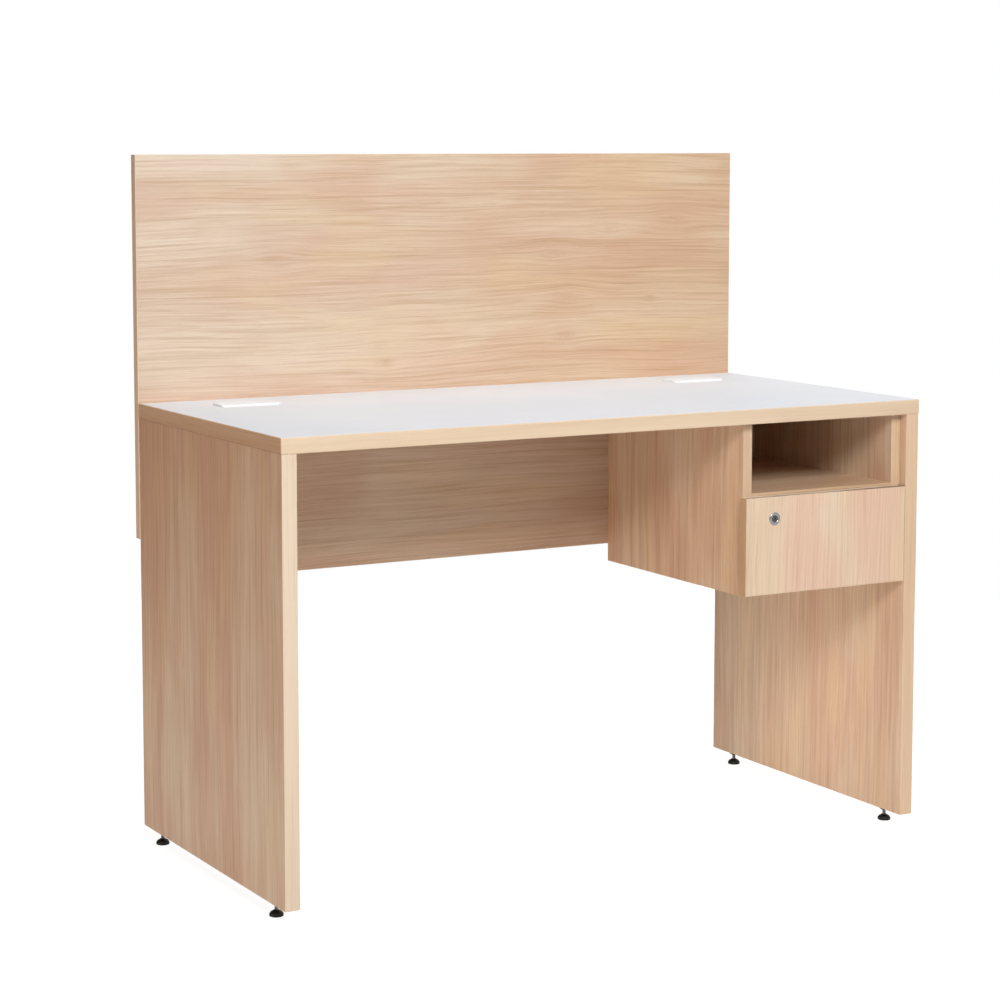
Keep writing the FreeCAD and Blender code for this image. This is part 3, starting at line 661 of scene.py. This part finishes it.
# shelf and bottom bands take the darker tape copy along X: painted shade
board("pedestal_shelf_band", M["tapeX_deep"], r=0.0001, soft={"-y": 0.0009})
board("pedestal_bottom", M["bottom"], r=0.00015)
board("pedestal_bottom_band", M["tapeX_deep"], r=0.0001, soft={"-y": 0.0009})
board("pedestal_back", M["back"], r=0.00015)
board("pedestal_rail", M["back"], r=0.0003)

board("drawer_front", M["front"], r=0.00010)
fz0, fz1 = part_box("drawer_front_edging")
fxm, fzm = (fz0.x + fz1.x) / 2, (fz0.z + fz1.z) / 2
# the edging's side (-x, +x) faces take the darker tape copy: painted shade
strips("drawer_front_edging", M["tapeZ"],
       {(fz0.x, -0.29, fzm): {"-x": 0.0009, "-y": 0.0007}, (fz1.x, -0.29, fzm): {"+x": 0.0009, "-y": 0.0007},
        (fxm, -0.29, fz0.z): {"-z": 0.0009}, (fxm, -0.29, fz1.z): {"+z": 0.0009}}, r=0.0001,
       face_mats={"-x": 1, "+x": 1}, extra=[M["tapeZ_front"]])
for n in ("drawer_side_left", "drawer_side_right", "drawer_back"):
    board(n, M["drawer_board"], r=0.0004)
board("drawer_bottom", M["fibre"], r=0.0003)

# =====================================================================
# cable ports
# =====================================================================
def soften(node, material, width, angle=40, segments=2, name=None):
    """Stands for a moulded or pressed node: same shape with rounded edges."""
    src = NODES[node]
    mesh = src.data.copy()
    mesh.materials.clear()
    bm = bmesh.new()
    bm.from_mesh(mesh)
    bmesh.ops.remove_doubles(bm, verts=bm.verts, dist=1e-6)
    bmesh.ops.dissolve_limit(bm, angle_limit=math.radians(0.5), use_dissolve_boundaries=False,
                             verts=bm.verts, edges=bm.edges, delimit=set())
    for f in bm.faces:
        f.smooth = True
    bm.to_mesh(mesh)
    bm.free()
    o = new_object(name or node + "_made", mesh, BODY_OF[node], [material])
    bev = o.modifiers.new("rounded_edges", "BEVEL")
    bev.limit_method = "ANGLE"
    bev.angle_limit = math.radians(angle)
    bev.width = width
    bev.segments = segments
    bev.use_clamp_overlap = True
    flat_normals(o)
    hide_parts(node)
    return o


for side in ("left", "right"):
    soften("cable_port_frame_" + side, M["white_plastic"], 0.0008, segments=4)
    soften("cable_port_flap_" + side, M["white_plastic"], 0.0003)

# =====================================================================
# hardware that keeps its CAD shape
# =====================================================================
for n in NODES:
    if n.startswith("slide_"):
        soften(n, M["steelY"], 0.0002, 40, 2)
for n in ("fixing_screws", "drawer_slide_screws", "screen_screws", "angle_brackets", "cam_bolts", "cam_housings",
          "strike_plate", "lock_nut", "lock_cam", "lock_cam_screw"):
    dress(n, M["steel"])
dress("panel_dowels", M["beech"])
dress("drawer_dowels", M["beech"])
dress("screen_screw_caps", M["cap_plastic"])
dress("leveller_inserts", M["black_plastic"])
dress("lock_plug", M["nickel"])


def lock_bezel():
    """The lock's housing turned in one piece: barrel, and a bezel with a rolled lip."""
    llo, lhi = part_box("lock_housing")
    cx, cz = (llo.x + lhi.x) / 2, (llo.z + lhi.z) / 2
    rb = (lhi.x - llo.x) / 2 * 1000
    y0, y1 = llo.y, lhi.y
    proud, bore, barrel = 1.8, 6.08, 8.0
    prof = [(bore, 0.55), (bore + 0.25, 0.30), (bore + 0.65, 0.08), (bore + 1.2, 0.0)]
    for k in range(0, 10):
        a = math.pi / 2 * k / 9
        prof.append((rb - 1.4 + 1.4 * math.sin(a), 1.4 - 1.4 * math.cos(a)))
    long = (y1 - y0) * 1000
    prof += [(rb, proud), (barrel, proud), (barrel, long - 0.4), (barrel - 0.4, long), (bore, long)]
    o = lathe("lock_bezel_made", [(r / 1000, a / 1000) for r, a in prof], (cx, y0, cz), (0, 1, 0), BODY_OF["lock_housing"],
              M["chrome"], 96, closed=True)
    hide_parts("lock_housing")


lock_bezel()

# =====================================================================
# levelling feet: a moulded pad on a zinc-plated threaded stud
# =====================================================================
def foot(node):
    flo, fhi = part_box(node)
    cx, cy = (flo.x + fhi.x) / 2, (flo.y + fhi.y) / 2
    side = node.replace("foot_", "")
    body = BODY_OF[node]
    pad = [(0.0, 0.0), (9.0, 0.0), (10.3, 0.06), (11.0, 0.45), (11.3, 1.1), (11.3, 2.6), (11.05, 3.9), (10.45, 5.2),
           (9.3, 6.6), (7.9, 7.7), (6.2, 8.6), (5.1, 9.05), (4.75, 9.35), (4.5, 9.9), (3.9, 10.15), (3.0, 10.2), (0.0, 10.2)]
    p = lathe("foot_pad_" + side, [(r / 1000, z / 1000) for r, z in pad], (cx, cy, 0.0), (0, 0, 1), body,
              M["black_plastic"], 72)
    # thread: a fine saw-tooth of rings turned on the stud
    top = fhi.z
    stud = [(0.0, 0.0102), (0.0029, 0.0102)]
    z, pitch = 0.0105, 0.001
    while z < top - 0.0015:
        stud += [(0.00268, z), (0.00298, z + pitch * 0.45), (0.00298, z + pitch * 0.6)]
        z += pitch
    stud += [(0.0024, top - 0.0004), (0.0018, top), (0.0, top)]
    t = lathe("foot_stud_" + side, stud, (cx, cy, 0.0), (0, 0, 1), body, M["steel"], 32)
    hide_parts(node)


for n in [n for n in NODES if n.startswith("foot_")]:
    foot(n)

# =====================================================================
# floor, light, camera
# =====================================================================
FLOOR_R = 2.6
WORLD_COLOUR, WORLD_K = (1.0, 0.93, 0.86, 1.0), 0.11
WORLD_GLOSS = 0.66
floor_mesh = bpy.data.meshes.new("floor")
bm = bmesh.new()
bmesh.ops.create_circle(bm, cap_ends=True, cap_tris=False, segments=128, radius=FLOOR_R,
                        matrix=Matrix.Translation((0.0, -0.1, 0.0)))
bm.to_mesh(floor_mesh)
bm.free()
floor = bpy.data.objects.new("studio_floor", floor_mesh)
scene.collection.objects.link(floor)
fm = bpy.data.materials.new("studio_floor")
ft = Tree(fm)
fn = ft.noise(ft.coord.outputs["Object"], 5.0, 3.0, 0.5)
ft.link(ft.mix(ft.remap(fn, 0.3, 0.7, 0.0, 1.0), (0.70, 0.70, 0.70, 1), (0.73, 0.73, 0.73, 1)), ft.bsdf.inputs["Base Color"])
set_in(ft.bsdf, rough=0.8, spec=0.0)
ft.bsdf.inputs["Emission Color"].default_value = (1, 1, 1, 1)
ft.bsdf.inputs["Emission Strength"].default_value = 0.10
# the camera sees an evenly lit white sweep with a faint contact shadow
seen = ft.node("ShaderNodeBsdfPrincipled")
seen.inputs["Base Color"].default_value = (0.22, 0.22, 0.22, 1)
seen.inputs["Roughness"].default_value = 0.9
seen.inputs["Specular IOR Level"].default_value = 0.0
seen.inputs["Emission Color"].default_value = (1, 1, 1, 1)
v = ft.node("ShaderNodeVectorMath", operation="LENGTH")
ft.link(ft.coord.outputs["Object"], v.inputs[0])
ft.link(ft.remap(v.outputs["Value"], 0.8, 2.2, 0.90, 1.0, smooth=True), seen.inputs["Emission Strength"])
ray = ft.node("ShaderNodeLightPath")
pick = ft.node("ShaderNodeMixShader")
ft.link(ray.outputs["Is Camera Ray"], pick.inputs[0])
ft.link(ft.bsdf.outputs[0], pick.inputs[1])
ft.link(seen.outputs[0], pick.inputs[2])
ft.link(pick.outputs[0], ft.out.inputs[0])
floor.data.materials.append(fm)

world = bpy.data.worlds.new("studio")
scene.world = world
world.use_nodes = True
wt = world.node_tree
wt.nodes.clear()
wo = wt.nodes.new("ShaderNodeOutputWorld")
mixw = wt.nodes.new("ShaderNodeMixShader")
lp = wt.nodes.new("ShaderNodeLightPath")
seen_bg = wt.nodes.new("ShaderNodeBackground")
seen_bg.inputs[0].default_value = (1, 1, 1, 1)
seen_bg.inputs[1].default_value = 1.0
lit_bg = wt.nodes.new("ShaderNodeBackground")
lit_bg.inputs[0].default_value = WORLD_COLOUR
lit_bg.inputs[1].default_value = WORLD_K
gloss_bg = wt.nodes.new("ShaderNodeBackground")
gloss_bg.inputs[0].default_value = (1, 1, 1, 1)
# a tall white reflector stands at the right and the front; the rear left is darker
wtc = wt.nodes.new("ShaderNodeTexCoord")
wsep = wt.nodes.new("ShaderNodeSeparateXYZ")
wt.links.new(wtc.outputs["Generated"], wsep.inputs[0])
wmap = wt.nodes.new("ShaderNodeMapRange")
wmap.interpolation_type = "SMOOTHSTEP"
wmap.clamp = True
for i, x in enumerate((-0.25, 0.15, 0.10, WORLD_GLOSS)):
    wmap.inputs[1 + i].default_value = x
wt.links.new(wsep.outputs[0], wmap.inputs[0])
wt.links.new(wmap.outputs[0], gloss_bg.inputs[1])
mixg = wt.nodes.new("ShaderNodeMixShader")
wt.links.new(lp.outputs["Is Glossy Ray"], mixg.inputs[0])
wt.links.new(lit_bg.outputs[0], mixg.inputs[1])
wt.links.new(gloss_bg.outputs[0], mixg.inputs[2])
wt.links.new(lp.outputs["Is Camera Ray"], mixw.inputs[0])
wt.links.new(mixg.outputs[0], mixw.inputs[1])
wt.links.new(seen_bg.outputs[0], mixw.inputs[2])
wt.links.new(mixw.outputs[0], wo.inputs[0])


def area(name, place, aim, size, power, colour=(1, 1, 1)):
    d = bpy.data.lights.new(name, "AREA")
    d.shape = "RECTANGLE"
    d.size, d.size_y = size
    d.energy = power
    d.color = colour
    o = bpy.data.objects.new(name, d)
    scene.collection.objects.link(o)
    o.location = place
    o.rotation_euler = (Vector(aim) - Vector(place)).to_track_quat("-Z", "Y").to_euler()
    return o


area("key_front", (-1.15, -4.2, 3.35), (0.0, 0.0, 0.75), (2.6, 1.5), 196, (0.97, 1.0, 1.04))
area("top_soft", (0.55, -0.25, 3.6), (0.2, 0.0, 0.75), (3.0, 2.4), 42, (0.93, 0.98, 1.08))
area("left_warm", (-3.4, -0.2, 0.42), (-0.6, 0.0, 0.36), (1.6, 0.8), 18, (1.0, 0.68, 0.46))
rear = area("rear_fill", (1.7, 4.2, 1.9), (0.2, 0.3, 0.7), (2.2, 1.4), 58, (1.0, 0.98, 0.95))
rear.visible_glossy = False
right = area("right_fill", (3.6, 0.45, 1.2), (0.6, 0.1, 0.5), (1.5, 1.3), 30, (1.0, 0.97, 0.93))
right.visible_glossy = False
# bounce card inside the knee space, seen by no camera, that lifts the right leg's inner face
card = area("knee_bounce", (-0.560, -0.04, 0.115), (0.57, -0.02, 0.175), (0.50, 0.17), 0.25, (1.0, 0.94, 0.87))
card.data.spread = math.radians(40)
card.visible_camera = False
card.visible_glossy = False

cam_data = bpy.data.cameras.new("camera")
cam = bpy.data.objects.new("camera", cam_data)
scene.collection.objects.link(cam)
cam.location = (-2.18903, -3.80922, 1.19683)
cam.rotation_euler = tuple(math.radians(a) for a in (84.0352, -0.0354, -29.2219))
cam_data.sensor_width = 36.0
cam_data.lens = 93.187
cam_data.shift_x = 0.0
cam_data.shift_y = -0.092
cam_data.clip_start, cam_data.clip_end = 0.05, 200.0
scene.camera = cam
scene.view_settings.view_transform = "Standard"
scene.view_settings.look = "None"
scene.view_settings.exposure = 0.0
scene.view_settings.gamma = 1.0
